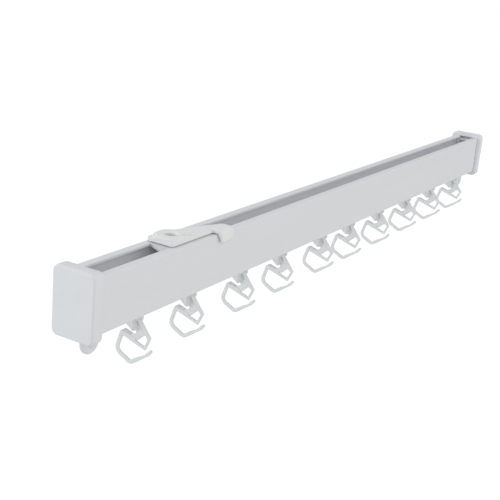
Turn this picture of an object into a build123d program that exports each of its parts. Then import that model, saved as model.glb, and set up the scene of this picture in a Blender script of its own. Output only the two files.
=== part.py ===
from build123d import *
import os

# A white curtain track for a ceiling: an extruded rail with caps and stops,
# ten hooked gliders and one quarter-turn clip that holds it up.
# The origin is where the clip's screw axis meets the ceiling. X runs along
# the rail from the near end, -Y is the front face, +Z points at the ceiling.

# Rail: an H section with a lipped channel at the top and one at the bottom
rail_length = 352.0
rail_width = 14.0
rail_height = 20.0
side_wall = 1.2
web_thickness = 1.2
lip_thickness = 1.2
top_slot = 7.5
bottom_slot = 5.4
glider_channel = 9.4
rail_edge = 0.5
lip_edge = 0.3

# Clearances
running_gap = 0.3
side_play = 0.4
push_gap = 0.1
bearing_gap = 0.08

# End caps
cap_width = 17.6
cap_height = 24.3
cap_depth = 4.8
cap_face = 1.5
cap_corner = 2.4
cap_edge = 0.9
plug_wall = 1.2

# End stops, each with an eye for the last hook of the curtain
stop_length = 8.5
stop_block_height = 4.0
stop_tab = 1.8
stop_drop = 9.5
eye_radius = 1.2
eye_drop = 6.3
stop_edge = 0.35

# Ceiling clip, with its screw hole on the origin's axis
clip_setback = 50.0
clip_height = 2.9
screw_hole = 2.2
screw_seat = 1.4
head_near = 6.0
head_front = 5.2
head_back = 6.3
head_corner = 1.1
plate_top = 1.2
terrace_top = 0.6
terrace_width = 0.7
boss_radius = 5.7
boss_edge = 0.3
notch_length = 2.3
notch_width = 0.9
notch_depth = 0.7
notch_radius = 4.85
notch_angles = [158, -54]
arm_reach = 28.2
arm_top = 0.9
arm_shoulder = 3.1
arm_tip_width = 1.7
hook_width = 9.8
hook_wall = 1.5
hook_drop = 3.4
hook_bend = 1.5
hook_slant = 2.7
hook_edge = 0.9
hub_radius = 2.95
wing_reach = 5.3
wing_width = 6.8
wing_height = 1.8
key_length = 17.3
key_slant = 3.6
key_edge = 0.3

# Gliders: places are shares of the run between the two end stops
glider_shares = [0.0597, 0.158, 0.2673, 0.3636, 0.4759, 0.5632, 0.6645, 0.7688, 0.8721, 0.9775]
glider_depth = 0.9
strip_width = 1.5
tip_radius = 0.58
ledge_depth = 3.0
ledge_width = 1.3
ledge_share = 0.54
head_length = 8.0
head_height = 3.4
head_corner_cut = 1.6
stem_length = 4.0
plate_drop = 3.6
plate_front = 3.7
plate_back = 3.0
gusset_thickness = 0.8
gusset_foot = 12.0
gusset_recess = 2.4
rib_width = 0.5
rib_depth = 1.9
tongue_thickness = 2.4
tongue_edge = 0.8

# Levels and stations worked out from the sizes
rail_top = -clip_height
rail_bottom = rail_top - rail_height
rail_middle = (rail_top + rail_bottom) / 2
channel_width = rail_width - 2 * side_wall
web_bottom = lip_thickness + glider_channel
web_top = web_bottom + web_thickness
clip_channel = rail_height - lip_thickness - web_top
rail_start = -clip_setback
rail_end = rail_start + rail_length
cap_cover = cap_depth - cap_face
near_rim = rail_start + cap_cover
far_rim = rail_end - cap_cover

os.makedirs("parts", exist_ok=True)


def save(part, name):
    part.label = name
    export_step(part, f"parts/{name}.step")


# Rail
# The sketch plane looks along the rail, with its origin at the middle of the underside
with BuildPart() as rail:
    with BuildSketch(Plane((rail_start, 0, rail_bottom), (0, 1, 0), (1, 0, 0))) as section:
        Rectangle(rail_width, rail_height, align=(Align.CENTER, Align.MIN))
        with Locations((0, lip_thickness)):
            Rectangle(
                channel_width, glider_channel, align=(Align.CENTER, Align.MIN), mode=Mode.SUBTRACT
            )
        with Locations((0, web_top)):
            Rectangle(
                channel_width, clip_channel, align=(Align.CENTER, Align.MIN), mode=Mode.SUBTRACT
            )
        Rectangle(
            bottom_slot, lip_thickness, align=(Align.CENTER, Align.MIN), mode=Mode.SUBTRACT
        )
        with Locations((0, rail_height)):
            Rectangle(
                top_slot, lip_thickness, align=(Align.CENTER, Align.MAX), mode=Mode.SUBTRACT
            )
        outer_corners = section.vertices().group_by(Axis.X)[0] + section.vertices().group_by(Axis.X)[-1]
        fillet(outer_corners, rail_edge)
        top_noses = section.vertices().filter_by(lambda v: abs(abs(v.X) - top_slot / 2) < 0.01)
        bottom_noses = section.vertices().filter_by(
            lambda v: abs(abs(v.X) - bottom_slot / 2) < 0.01
        )
        fillet(top_noses + bottom_noses, lip_edge)
    extrude(amount=rail_length)
save(rail.part, "rail")


# End caps
# The cap is a shallow moulded box over the end of the rail, with a plug in each channel
def build_cap(name, rim, outward):
    rim_plane = Plane((rim, 0, rail_middle), (0, outward, 0), (outward, 0, 0))
    seat_plane = rim_plane.offset(cap_cover)
    upper_centre = web_top + clip_channel / 2 - rail_height / 2
    lower_centre = lip_thickness + glider_channel / 2 - rail_height / 2
    with BuildPart() as cap:
        with BuildSketch(rim_plane):
            RectangleRounded(cap_width, cap_height, cap_corner)
        extrude(amount=cap_depth)
        face_rim = cap.faces().sort_by(Axis.X)[0 if outward < 0 else -1].edges()
        fillet(face_rim, cap_edge)
        with BuildSketch(rim_plane):
            Rectangle(rail_width + 2 * push_gap, rail_height + 2 * push_gap)
        extrude(amount=cap_cover, mode=Mode.SUBTRACT)
        with BuildSketch(seat_plane):
            for centre, height in ((upper_centre, clip_channel), (lower_centre, glider_channel)):
                with Locations((0, centre)):
                    plug_width = channel_width - 2 * push_gap
                    plug_height = height - 2 * push_gap
                    Rectangle(plug_width, plug_height)
                    Rectangle(
                        plug_width - 2 * plug_wall, plug_height - 2 * plug_wall, mode=Mode.SUBTRACT
                    )
        extrude(amount=-(cap_cover - push_gap))
    save(cap.part, name)


build_cap("end_cap_near", near_rim, -1)
build_cap("end_cap_far", far_rim, 1)


# End stops
# A block that is pushed into the glider channel, and a half-round tab with an eye below it
def build_stop(name, start):
    middle = start + stop_length / 2
    tab_radius = stop_length / 2
    tab_straight = stop_drop - tab_radius
    tab_plane = Plane((middle, -stop_tab / 2, rail_bottom), (1, 0, 0), (0, -1, 0))
    with BuildPart() as stop:
        with BuildSketch(Plane.XY.offset(rail_bottom + lip_thickness)):
            with Locations((middle, 0)):
                Rectangle(stop_length, channel_width - 2 * push_gap)
        extrude(amount=stop_block_height)
        chamfer(stop.faces().sort_by(Axis.Z)[-1].edges(), stop_edge)
        with BuildSketch(Plane.XY.offset(rail_bottom)):
            with Locations((middle, 0)):
                Rectangle(stop_length, bottom_slot - 2 * push_gap)
        extrude(amount=lip_thickness)
        with BuildSketch(tab_plane):
            Rectangle(stop_length, tab_straight, align=(Align.CENTER, Align.MAX))
            with Locations((0, -tab_straight)):
                Circle(tab_radius)
            with Locations((0, -eye_drop)):
                Circle(eye_radius, mode=Mode.SUBTRACT)
        extrude(amount=-stop_tab)
        tab_faces = stop.faces().filter_by(Axis.Y).filter_by(
            lambda face: face.bounding_box().min.Z < rail_bottom - tab_straight
        )
        tab_rims = [face.outer_wire().edges().filter_by(GeomType.CIRCLE) for face in tab_faces]
        chamfer([edge for rim in tab_rims for edge in rim], stop_edge)
    save(stop.part, name)


near_stop_end = near_rim + push_gap + stop_length
far_stop_start = far_rim - push_gap - stop_length
build_stop("end_stop_near", near_rim + push_gap)
build_stop("end_stop_far", far_stop_start)


# Ceiling clip
# The lever turns on the ceiling screw. Its wings lie across the top channel under both
# lips when the arm lies along the rail, and line up with the slot after a quarter turn.
head_underside = rail_top + running_gap
wing_top = rail_top - lip_thickness - running_gap
wing_bottom = wing_top - wing_height
arm_level = -arm_top
front_face = -rail_width / 2
hook_inner = front_face - running_gap
hook_outer = hook_inner - hook_wall
hook_start = arm_reach - hook_width
hook_bottom = rail_top - hook_drop

with BuildPart() as clip_lever:
    with BuildSketch(Plane.XY.offset(head_underside)) as head_outline:
        with Locations((-head_near, -head_front)):
            Rectangle(
                head_near, head_front + head_back, align=(Align.MIN, Align.MIN)
            )
        fillet(head_outline.vertices().group_by(Axis.X)[0], head_corner)
    extrude(amount=-plate_top - head_underside)
    for radius, level in ((boss_radius + terrace_width, -terrace_top), (boss_radius, 0)):
        with BuildSketch(Plane.XY.offset(head_underside)):
            Circle(radius)
            with Locations((-head_near, -head_front)):
                Rectangle(
                    head_near + 2 * radius,
                    head_front + radius,
                    align=(Align.MIN, Align.MIN),
                    mode=Mode.INTERSECT,
                )
        extrude(amount=level - head_underside)
    with BuildSketch(Plane.XY.offset(head_underside)):
        with BuildLine():
            back_edge = Spline(
                (0, head_front),
                (boss_radius * 1.8, arm_shoulder),
                (arm_reach * 0.65, 0),
                (arm_reach - hook_bend, arm_tip_width - head_front),
                tangents=((1, 0), (0.9, -0.45)),
            )
            Polyline(
                back_edge @ 1,
                (arm_reach, hook_bend / 2 - head_front),
                (arm_reach, -head_front),
                (0, -head_front),
                (0, head_front),
            )
        make_face()
    extrude(amount=arm_level - head_underside)
    with BuildSketch(Plane((hook_start, 0, 0), (0, 1, 0), (1, 0, 0))):
        with BuildLine():
            FilletPolyline(
                (-head_front, arm_level),
                (hook_outer, arm_level),
                (hook_outer, hook_bottom),
                radius=hook_bend,
            )
            Polyline(
                (hook_outer, hook_bottom),
                (hook_inner, hook_bottom),
                (hook_inner, head_underside),
                (-head_front, head_underside),
                (-head_front, arm_level),
            )
        make_face()
    extrude(amount=hook_width)
    with BuildSketch(Plane((0, -head_front, 0), (1, 0, 0), (0, -1, 0))):
        with BuildLine():
            Polyline(
                (hook_start, arm_level),
                (hook_start, hook_bottom),
                (hook_start + hook_slant, hook_bottom),
                close=True,
            )
        make_face()
    extrude(amount=-head_front - hook_outer, mode=Mode.SUBTRACT)
    outer_rims = clip_lever.faces().filter_by(Axis.Y).sort_by(Axis.Y)[0].edges()
    fillet(outer_rims.filter_by(lambda edge: edge.center().Z < head_underside), hook_edge)
    with BuildSketch(Plane.XY.offset(head_underside)):
        Circle(hub_radius)
    extrude(amount=wing_bottom - head_underside)
    with BuildSketch(Plane.XY.offset(wing_bottom)):
        Circle(wing_reach)
        Rectangle(wing_width, 2 * wing_reach, mode=Mode.INTERSECT)
    extrude(amount=wing_height)
    boss_rim = clip_lever.faces().filter_by(Axis.Z).sort_by(Axis.Z)[-1].edges()
    chamfer(boss_rim, boss_edge)
    with BuildSketch(Plane.XY):
        Circle(screw_hole)
    extrude(amount=wing_bottom, mode=Mode.SUBTRACT)
    with BuildSketch(Plane.XY.offset(wing_bottom)):
        Circle(hub_radius)
    with BuildSketch(Plane.XY.offset(wing_bottom + screw_seat)):
        Circle(screw_hole)
    loft(mode=Mode.SUBTRACT)
    with BuildSketch(Plane.XY):
        for angle in notch_angles:
            with PolarLocations(notch_radius, 1, start_angle=angle):
                SlotOverall(notch_length, notch_width, rotation=90)
    extrude(amount=-notch_depth, mode=Mode.SUBTRACT)
save(clip_lever.part, "clip_lever")

# The key is a slant-ended plate in the slot, which keeps the clip in line with the rail
with BuildPart() as clip_key:
    key_half = top_slot / 2 - push_gap
    with BuildSketch(Plane.XY.offset(rail_top - lip_thickness)) as key_outline:
        with BuildLine():
            Polyline(
                (-key_length / 2 - key_slant / 2, -key_half),
                (key_length / 2 - key_slant / 2, -key_half),
                (key_length / 2 + key_slant / 2, key_half),
                (-key_length / 2 + key_slant / 2, key_half),
                close=True,
            )
        make_face()
        chamfer(key_outline.vertices(), key_edge)
        Circle(hub_radius + bearing_gap, mode=Mode.SUBTRACT)
    extrude(amount=lip_thickness)
save(clip_key.part, "clip_key")


# Gliders
# Outline points are given as front and height, from the middle of the rail's underside.
# The ring runs down the leg, round the tip of the eye and back along the bar to the hook.
# The gusset fills its upper corner. It lies well back behind the leg, where a rib joins
# them, and it comes forward to the bar.
ring_outline = [
    (0.4, -3.4), (2.55, -3.4), (7.6, -9.6), (5.4, -14.5), (-5.5, -11.2), (-5.3, -9.8), (-1.8, -10.4),
    (0.2, -10.8), (1.55, -12.1), (4.85, -13.2), (6.25, -10.2), (1.45, -4.3), (0.4, -4.3),
]
ledge_line = [(-5.6, -10.35), (1.2, -12.4)]
hook_line = [(-5.15, -10.6), (-7.3, -17.7), (-0.7, -20.9), (0.9, -19.7)]
hook_radii = [2.6, 1.8]
arm_outline = [
    (0.47, -19.02), (3.15, -17.4), (5.0, -16.4), (7.35, -13.95), (8.35, -14.55), (7.0, -16.15),
    (4.6, -17.9), (1.33, -20.38),
]
arm_tip = (7.85, -14.25)
tongue_outline = [(-3.4, -0.3), (1.3, -0.3), (1.0, -6.0), (0.9, -8.2), (-0.5, -8.8), (-3.4, -6.65)]
gusset_outline = [
    (0.2, -3.7), (1.6, -3.7), (6.2, -9.8), (4.4, -9.4), (1.8, -11.9), (0.3, -11.2), (-1.4, -10.9),
    (-0.1, -9.9), (0.75, -9.5), (0.5, -7.5),
]
rib_line = [(1.45, -3.7), (6.4, -9.8)]
ledge_end = Line(ledge_line[0], ledge_line[1]) @ ledge_share


# The tongue hangs behind the gusset as a wedge with bevelled flanks
def build_tongue(place):
    side_plane = Plane((place - tongue_thickness / 2, 0, rail_bottom), (0, -1, 0), (-1, 0, 0))
    with BuildPart() as tongue:
        with BuildSketch(side_plane):
            with BuildLine():
                Polyline(*tongue_outline, close=True)
            make_face()
        extrude(amount=-tongue_thickness)
        chamfer(tongue.faces().filter_by(Axis.X).edges(), tongue_edge)
    return tongue.part


def build_glider(name, place):
    near_face = Plane((place - glider_depth / 2, 0, rail_bottom), (0, -1, 0), (-1, 0, 0))
    gusset_top = place - glider_depth / 2 + gusset_recess
    gusset_face = Plane((gusset_top, 0, rail_bottom), (0, -1, 0), (-gusset_foot, 0, gusset_recess))
    neck_plane = Plane.XY.offset(rail_bottom - running_gap)
    with BuildPart() as glider:
        with BuildSketch(near_face):
            for outline in (ring_outline, arm_outline):
                with BuildLine():
                    Polyline(*outline, close=True)
                make_face()
            with BuildLine():
                FilletPolyline(*hook_line, radius=hook_radii)
            trace(line_width=strip_width)
            with Locations(hook_line[0]):
                Circle(strip_width / 2)
            with Locations(arm_tip):
                Circle(tip_radius)
            with Locations(((plate_front - plate_back) / 2, -running_gap)):
                Rectangle(
                    plate_front + plate_back,
                    plate_drop - running_gap,
                    align=(Align.CENTER, Align.MAX),
                )
        extrude(amount=-glider_depth)
        with BuildSketch(gusset_face):
            with BuildLine():
                Polyline(*gusset_outline, close=True)
            make_face()
        extrude(amount=-gusset_thickness)
        for start, end, width, depth in (
            (rib_line[0], rib_line[1], rib_width, rib_depth),
            (ledge_line[0], ledge_end, ledge_width, ledge_depth),
        ):
            with BuildSketch(near_face):
                with BuildLine():
                    Line(start, end)
                trace(line_width=width)
            extrude(amount=-depth)
        add(build_tongue(place))
        with BuildSketch(neck_plane):
            with Locations((place, 0)):
                Rectangle(stem_length, bottom_slot - 2 * side_play)
        extrude(amount=lip_thickness + 2 * running_gap)
        with BuildSketch(Plane.XY.offset(rail_bottom + lip_thickness + running_gap)) as head:
            with Locations((place, 0)):
                Rectangle(head_length, channel_width - 2 * side_play)
            chamfer(head.vertices(), head_corner_cut)
        extrude(amount=head_height)
    save(glider.part, name)


glider_run = far_stop_start - near_stop_end
for number, share in enumerate(glider_shares, start=1):
    build_glider(f"glider_{number:02d}", near_stop_end + share * glider_run)
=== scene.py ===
# %% [markdown]
# A white curtain track, seen from its near end and a little from above. The rail,
# its caps, stops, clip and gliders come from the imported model, in metres. This
# script gives them soft moulded edges, their finishes, a camera and soft light.

import bpy
import bmesh
from math import radians
from mathutils import Matrix, Vector


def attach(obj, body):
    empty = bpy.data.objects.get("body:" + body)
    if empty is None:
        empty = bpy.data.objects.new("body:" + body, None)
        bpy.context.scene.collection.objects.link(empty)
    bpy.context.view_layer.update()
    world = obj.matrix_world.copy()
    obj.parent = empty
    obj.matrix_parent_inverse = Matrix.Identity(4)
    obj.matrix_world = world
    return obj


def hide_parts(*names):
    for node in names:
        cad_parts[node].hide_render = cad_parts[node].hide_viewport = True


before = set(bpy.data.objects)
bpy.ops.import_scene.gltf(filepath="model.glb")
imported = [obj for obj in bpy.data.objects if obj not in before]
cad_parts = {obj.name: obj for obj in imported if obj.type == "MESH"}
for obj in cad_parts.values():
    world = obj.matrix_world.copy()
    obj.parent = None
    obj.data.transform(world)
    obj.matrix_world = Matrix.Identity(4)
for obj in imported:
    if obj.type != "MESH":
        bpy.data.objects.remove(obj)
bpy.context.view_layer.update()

MM = 0.001
scene = bpy.context.scene
scene.view_settings.view_transform = "Standard"

# %% [markdown]
# The photograph was taken close to the near end, with the rail running away to the
# right. The camera looks 30 degrees off the rail, tilts down 18 degrees and leans a
# little to one side. The lens is a long one, so the rail narrows only slowly. A new
# camera looks straight down, so quarter turns first level it and face it along X.

# %% Camera
CAMERA_PLACE_MM = (-281.4, -197.0, 106.8)
LOOK_OFF_RAIL = 30.27
LOOK_DOWN = 17.83
LEAN = 5.38
QUARTER = 90
LENS = 73.0
SENSOR = 36
NEAREST_SEEN = 0.02

camera_data = bpy.data.cameras.new("camera")
camera_data.sensor_width = SENSOR
camera_data.lens = LENS
camera_data.clip_start = NEAREST_SEEN
camera = bpy.data.objects.new("camera", camera_data)
scene.collection.objects.link(camera)
spot = Matrix.Translation(Vector(CAMERA_PLACE_MM) * MM)
heading = Matrix.Rotation(radians(LOOK_OFF_RAIL - QUARTER), 4, "Z")
tilt = Matrix.Rotation(radians(QUARTER - LOOK_DOWN), 4, "X")
lean = Matrix.Rotation(radians(LEAN), 4, "Z")
camera.matrix_world = spot @ heading @ tilt @ lean
scene.camera = camera
print("camera at", [round(v, 4) for v in camera.location])

# %% [markdown]
# A white object on white needs light from nearly everywhere, so that no side goes
# dark. The world and the white floor give most of it, like a tent round the track.
# Four weak lamps then give each side a level of its own, so that edges still read:
# one before the near end, a cool one behind it, a warm one at the front, and a
# small one overhead that lights the tops and the open channel.

# %% Lamps
def lamp(name, place, target, size, power, tint=(1, 1, 1)):
    data = bpy.data.lights.new(name, "AREA")
    data.shape = "DISK"
    data.size = size
    data.energy = power
    data.color = tint
    thing = bpy.data.objects.new(name, data)
    scene.collection.objects.link(thing)
    aim = (Vector(target) - Vector(place)).to_track_quat("-Z", "Y")
    thing.matrix_world = Matrix.Translation(Vector(place)) @ aim.to_matrix().to_4x4()
    print("lamp", name, power, "W")

COOL = (0.92, 0.97, 1.0)
WARM = (1.0, 0.98, 0.96)
lamp("key", place=(-0.72, -0.7, 0.54), target=(0.03, 0, 0), size=0.35, power=1.2)
lamp("left", place=(-0.78, 0.93, 0.36), target=(0, 0, 0), size=0.5, power=4.2, tint=COOL)
lamp("side", place=(0.6, -1.15, 0.1), target=(0.15, 0, 0), size=0.6, power=2.4, tint=WARM)
lamp("top", place=(0.3, 0.02, 0.9), target=(0.2, 0, 0), size=0.15, power=0.5)

# %% [markdown]
# A track hangs from the ceiling, so the floor lies well below its hooks. It is one
# large square sheet that only takes a faint shadow.

# %% Floor
FLOOR_HALF_WIDTH = 6
FLOOR_DROP = 0.32

floor_mesh = bmesh.new()
bmesh.ops.create_grid(floor_mesh, x_segments=1, y_segments=1, size=FLOOR_HALF_WIDTH)
bmesh.ops.translate(floor_mesh, verts=floor_mesh.verts, vec=(0, 0, -FLOOR_DROP))
floor_data = bpy.data.meshes.new("floor")
floor_mesh.to_mesh(floor_data)
floor_mesh.free()
floor = bpy.data.objects.new("floor", floor_data)
scene.collection.objects.link(floor)
print("floor", FLOOR_DROP, "m below the ceiling")

# %% [markdown]
# Shader nodes are easier to read as sums. This small class wraps one output of a
# node, so that a plus or a times in Python adds the Math node that does it.

# %% Signal
class Signal:
    def __init__(self, board, socket):
        self.board = board
        self.socket = socket

    def maths(self, operation, first, second):
        return self.board.node("ShaderNodeMath", {"operation": operation}, {0: first, 1: second})

    def __add__(self, other):
        return self.maths("ADD", self, other)

    def __radd__(self, other):
        return self.maths("ADD", other, self)

    def __mul__(self, other):
        return self.maths("MULTIPLY", self, other)

    def __rmul__(self, other):
        return self.maths("MULTIPLY", other, self)

# %% [markdown]
# A board is the node tree of one material or of the world, emptied first. Its one
# method adds any node: the settings go in before the sockets, because a setting can
# change which sockets there are.

# %% Board
class Board:
    def __init__(self, tree):
        self.tree = tree
        self.tree.nodes.clear()

    def node(self, kind, settings=None, inputs=None, output=0):
        made = self.tree.nodes.new(kind)
        for key, value in (settings or {}).items():
            if key == "stops":
                for stop, (position, level) in zip(made.color_ramp.elements, value):
                    stop.position = position
                    stop.color = (level, level, level, 1)
            else:
                setattr(made, key, value)
        for key, value in (inputs or {}).items():
            if isinstance(value, Signal):
                self.tree.links.new(value.socket, made.inputs[key])
            else:
                made.inputs[key].default_value = value
        return Signal(self, made.outputs[output]) if len(made.outputs) else made

# %% [markdown]
# The world lights everything evenly at a plain level, and is plain white to the
# camera. Light Path tells the camera's own rays from those that carry light.

# %% World
DOME_LEVEL = 0.6
WHITE = (1, 1, 1, 1)

world = bpy.data.worlds.new("studio")
scene.world = world
world.use_nodes = True
sky = Board(world.node_tree)
ray = sky.node("ShaderNodeLightPath", output="Is Camera Ray")
shell = sky.node("ShaderNodeBackground", inputs={"Color": WHITE, "Strength": DOME_LEVEL})
white = sky.node("ShaderNodeBackground", inputs={"Color": WHITE, "Strength": 1.0})
both = sky.node("ShaderNodeMixShader", inputs={0: ray, 1: shell, 2: white})
sky.node("ShaderNodeOutputWorld", inputs={"Surface": both})
print("world lights at", DOME_LEVEL)

# %% [markdown]
# The floor is white paper. Nine tenths of what the camera sees of it is a glow, and
# the last tenth is the lit paper, so it comes out white and still takes a shadow.

# %% Floor finish
PAPER = (0.8, 0.8, 0.8, 1)
GLOW_STRENGTH = 1.1
GLOW_SHARE = 0.9

sheet = bpy.data.materials.new("white_sheet")
sheet.use_nodes = True
board = Board(sheet.node_tree)
ray = board.node("ShaderNodeLightPath", output="Is Camera Ray")
paper = board.node("ShaderNodeBsdfDiffuse", inputs={"Color": PAPER})
glow = board.node("ShaderNodeEmission", inputs={"Color": WHITE, "Strength": GLOW_STRENGTH})
mixed = board.node("ShaderNodeMixShader", inputs={0: ray * GLOW_SHARE, 1: paper, 2: glow})
board.node("ShaderNodeOutputMaterial", inputs={"Surface": mixed})
floor_data.materials.append(sheet)
print("floor paper", sheet.name)

# %% [markdown]
# Every finish here is a white one, and they differ in warmth, gloss and grain. A
# coat of powder has a fine orange peel, a moulding has an even, finer grain and
# slow flow marks. One recipe takes those numbers and makes each finish. The flow
# marks drift between two near shades, and they also vary the gloss a little.

# %% Finish recipe
DRIFT_STOPS = ((0.3, 0.0), (0.7, 1.0))
SPECK_GRAINS = 4
FLOW_IN_GLOSS, PEEL_IN_GLOSS = 0.6, 0.4
SPECK_IN_RELIEF, FLOW_IN_RELIEF = 0.25, 0.5
RELIEF_MM = 0.02
COAT_ROUGHNESS = 0.25
SHINE = 0.06
PLASTIC_IOR = 1.46

def finish(name, colour, shade, roughness, spread, grain_mm, grain, flow_mm, coat=0.0, stretch=1.0):
    material = bpy.data.materials.new(name)
    material.use_nodes = True
    board = Board(material.node_tree)
    place = board.node("ShaderNodeTexCoord", output="Object")
    along = board.node("ShaderNodeMapping", inputs={"Vector": place, "Scale": (1 / stretch, 1, 1)})
    flow = board.node(
        "ShaderNodeTexNoise", inputs={"Vector": along, "Scale": 1 / (flow_mm * MM), "Detail": 3.0}
    )
    peel = board.node(
        "ShaderNodeTexNoise", inputs={"Vector": place, "Scale": 1 / (grain_mm * MM), "Detail": 2.0}
    )
    speck = board.node(
        "ShaderNodeTexVoronoi", inputs={"Vector": place, "Scale": 1 / (SPECK_GRAINS * grain_mm * MM)}
    )
    drift = board.node("ShaderNodeValToRGB", {"stops": DRIFT_STOPS}, {"Fac": flow})
    tone = board.node(
        "ShaderNodeMix", {"data_type": "RGBA"}, {0: drift, 6: colour, 7: shade}, output=2
    )
    gloss = roughness - spread / 2 + spread * (FLOW_IN_GLOSS * flow + PEEL_IN_GLOSS * peel)
    relief = peel + SPECK_IN_RELIEF * speck + FLOW_IN_RELIEF * flow
    bump = board.node(
        "ShaderNodeBump", inputs={"Height": relief, "Strength": grain, "Distance": RELIEF_MM * MM}
    )
    skin = board.node(
        "ShaderNodeBsdfPrincipled",
        inputs={
            "Base Color": tone,
            "Roughness": gloss,
            "Normal": bump,
            "Coat Weight": coat,
            "Coat Roughness": COAT_ROUGHNESS,
            "Specular IOR Level": SHINE,
            "IOR": PLASTIC_IOR,
        },
    )
    board.node("ShaderNodeOutputMaterial", inputs={"Surface": skin})
    return material

# %% [markdown]
# The rail is cool white powder on metal, and its flow marks are drawn out along it
# as an extrusion's are. The caps and stops match it. The clip is a warmer, brighter
# plastic and the gliders are the glossiest. The plate that the clip turns in gets a
# darker, bluer colour than its own, which paints in the shade under the clip's head.

# %% Finishes
FINISHES = {
    "rail_coat": finish(
        "white_powder_coat", (0.83, 0.845, 0.865, 1), (0.815, 0.83, 0.85, 1), roughness=0.42,
        spread=0.1, grain_mm=0.4, grain=0.15, flow_mm=9, coat=0.1, stretch=12,
    ),
    "cap": finish(
        "cap_moulding", (0.84, 0.855, 0.875, 1), (0.825, 0.84, 0.86, 1), roughness=0.46,
        spread=0.1, grain_mm=0.25, grain=0.08, flow_mm=6,
    ),
    "stop": finish(
        "stop_moulding", (0.83, 0.84, 0.85, 1), (0.815, 0.825, 0.835, 1), roughness=0.46,
        spread=0.1, grain_mm=0.25, grain=0.05, flow_mm=5,
    ),
    "clip": finish(
        "clip_moulding", (0.9, 0.905, 0.9, 1), (0.885, 0.89, 0.885, 1), roughness=0.38,
        spread=0.12, grain_mm=0.25, grain=0.06, flow_mm=7,
    ),
    # The key's finish is painted shade: its darker, bluer colour stands in for the shade that the
    # clip's head casts on it.
    "key": finish(
        "key_painted_shade", (0.7, 0.72, 0.73, 1), (0.685, 0.705, 0.715, 1), roughness=0.42,
        spread=0.12, grain_mm=0.25, grain=0.06, flow_mm=7,
    ),
    "glider": finish(
        "glider_moulding", (0.85, 0.862, 0.867, 1), (0.835, 0.847, 0.852, 1), roughness=0.35,
        spread=0.1, grain_mm=0.25, grain=0.04, flow_mm=4,
    ),
}
print("finishes", sorted(FINISHES))

# %% [markdown]
# A CAD mesh has knife-sharp edges, and no moulding has. So each moulded piece is a
# copy of its CAD node: the loose triangles are joined, flat faces are made whole
# again, and only then can its edges be worked on.

# %% Joined copy
FLAT_DEGREES = 1

def joined_copy(node, merge_mm):
    work = bmesh.new()
    work.from_mesh(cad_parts[node].data)
    bmesh.ops.remove_doubles(work, verts=work.verts, dist=merge_mm * MM)
    bmesh.ops.dissolve_limit(
        work, angle_limit=radians(FLAT_DEGREES), verts=work.verts, edges=work.edges, delimit=set()
    )
    return work

def bevel_edges(work, edges, width_mm, segments):
    bmesh.ops.bevel(
        work, geom=edges, offset=width_mm * MM, offset_type="OFFSET", affect="EDGES",
        segments=segments, profile=0.5, material=-1, clamp_overlap=True,
    )

# %% [markdown]
# A finished mesh becomes a piece: it gets its finish, rides on the body that its
# node rode on, and stands for that node.

# %% Piece from a mesh
def dressed(node, data, body, look):
    data.materials.append(FINISHES[look])
    piece = bpy.data.objects.new(data.name, data)
    scene.collection.objects.link(piece)
    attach(piece, body)
    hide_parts(node)

# %% [markdown]
# The caps are plain boxes with rounded corners, so a narrow bevel on every sharp
# edge is enough to catch the light. Faces that meet at a low angle are shaded as
# one, and the others stay crisp.

# %% Bevelled copies
CAP_MERGE_MM = 0.05
SHARP_DEGREES = 30
CRISP_DEGREES = 50
EDGE_SEGMENTS = 2

def moulded(node, body, slot, edge_mm):
    work = joined_copy(node, CAP_MERGE_MM)
    sharp = radians(SHARP_DEGREES)
    edges = [e for e in work.edges if len(e.link_faces) == 2 and e.calc_face_angle(0) > sharp]
    bevel_edges(work, edges, edge_mm, EDGE_SEGMENTS)
    bmesh.ops.triangulate(work, faces=[f for f in work.faces if len(f.verts) > 4])
    for face in work.faces:
        face.smooth = True
    for edge in work.edges:
        edge.smooth = len(edge.link_faces) == 2 and edge.calc_face_angle(0) < radians(CRISP_DEGREES)
    data = bpy.data.meshes.new(node + "_moulded")
    work.to_mesh(data)
    work.free()
    dressed(node, data, body, slot)
    print(node, "edges bevelled", len(edges), "faces", len(data.polygons))

# %% [markdown]
# The gliders, the stops and the clip have thin bars that run into each other at odd
# angles, where a bevel would cross itself. These are rebuilt on a fine grid, which is
# then evened out a few times, so that edges and inside corners both turn round. An
# edge that is rounder than that on the real piece is cut beforehand, and a box says
# where it is.

# %% Softened copies
SOFT_MERGE_MM = 0.002
CUT_ANGLE = 0.3
EVEN_FACTOR = 0.5

def cut_edges(work, low, high, width_mm, segments):
    def inside(vertex):
        return all(a <= v / MM <= b for a, v, b in zip(low, vertex.co, high))
    chosen = [
        e for e in work.edges
        if all(inside(v) for v in e.verts) and e.calc_face_angle(0) > CUT_ANGLE
    ]
    bevel_edges(work, chosen, width_mm, segments)
    print("edges cut", len(chosen))

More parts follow.
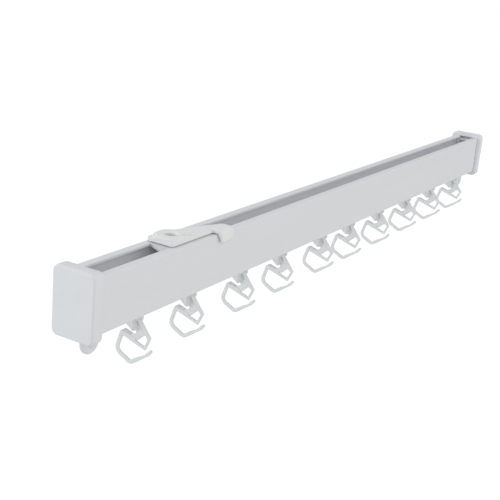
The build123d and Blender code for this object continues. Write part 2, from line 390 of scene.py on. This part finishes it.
def softened(node, body, slot, grid_mm, passes, cuts=(), look=None):
    work = joined_copy(node, SOFT_MERGE_MM)
    for low, high, width_mm, segments in cuts:
        cut_edges(work, low, high, width_mm, segments)
    crude = bpy.data.meshes.new(node + "_crude")
    work.to_mesh(crude)
    work.free()
    model = bpy.data.objects.new(node + "_crude", crude)
    scene.collection.objects.link(model)
    grid = model.modifiers.new("grid", "REMESH")
    grid.mode = "VOXEL"
    grid.voxel_size = grid_mm * MM
    even = model.modifiers.new("even", "SMOOTH")
    even.factor = EVEN_FACTOR
    even.iterations = passes
    seen = model.evaluated_get(bpy.context.evaluated_depsgraph_get())
    data = bpy.data.meshes.new_from_object(seen)
    bpy.data.objects.remove(model)
    data.name = node + "_softened"
    data.shade_smooth()
    data.materials.clear()
    dressed(node, data, body, look or slot)
    print(node, "softened, faces", len(data.polygons))

# %% [markdown]
# The rail is an extrusion whose CAD shape is already right, so the node itself
# stays and only gets the powder coat.

# %% Rail
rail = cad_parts["rail"]
for holder in rail.material_slots:
    holder.material = FINISHES["rail_coat"]
print("rail coated, slots", len(rail.material_slots))

# %% [markdown]
# Each end of the rail is closed by a cap, and behind it a stop with a half-round tab
# is pushed into the lower channel.

# %% Caps and stops
for end in ("near", "far"):
    moulded(f"end_cap_{end}", "rail", "cap", edge_mm=0.2)
    softened(f"end_stop_{end}", "rail", "stop", grid_mm=0.12, passes=6)

# %% [markdown]
# The ceiling clip is the softest shape. Before its grid is made, the rim of its screw
# hole and the end of its arm are rounded, and the edges beside the gaps at its hook
# and above the rail's lip are cut back, so that those gaps open and show as dark
# lines. Each row gives a box round the edges, a width and a number of segments.

# %% Clip
CLIP_CUTS = (
    ((-2.3, -2.3, -0.1), (2.3, 2.3, 0.1), 0.7, 4),          # rim of the screw hole
    ((20, -5.3, -1.0), (28.3, -1.2, -0.8), 0.8, 3),         # top edge of the arm's free end
    ((19.0, -7.4, -6.4), (21.2, -7.2, -2.5), 0.8, 1),       # inner edge of the hook
    ((-6.1, -5.3, -2.7), (19.3, -5.1, -2.5), 0.4, 1),       # lower front edge above the lip
)
softened("clip_lever", "clip_lever", "clip", grid_mm=0.15, passes=5, cuts=CLIP_CUTS)
# The key gets the finish with painted shade, darker and bluer than the clip's plastic.
softened("clip_key", "rail", "clip", grid_mm=0.12, passes=5, look="key")

# %% [markdown]
# All ten gliders are the same moulding. Each rides on a body of its own, because
# each slides by itself.

# %% Gliders
GLIDER_COUNT = 10
for number in range(1, GLIDER_COUNT + 1):
    name = f"glider_{number:02d}"
    softened(name, name, "glider", grid_mm=0.13, passes=7)
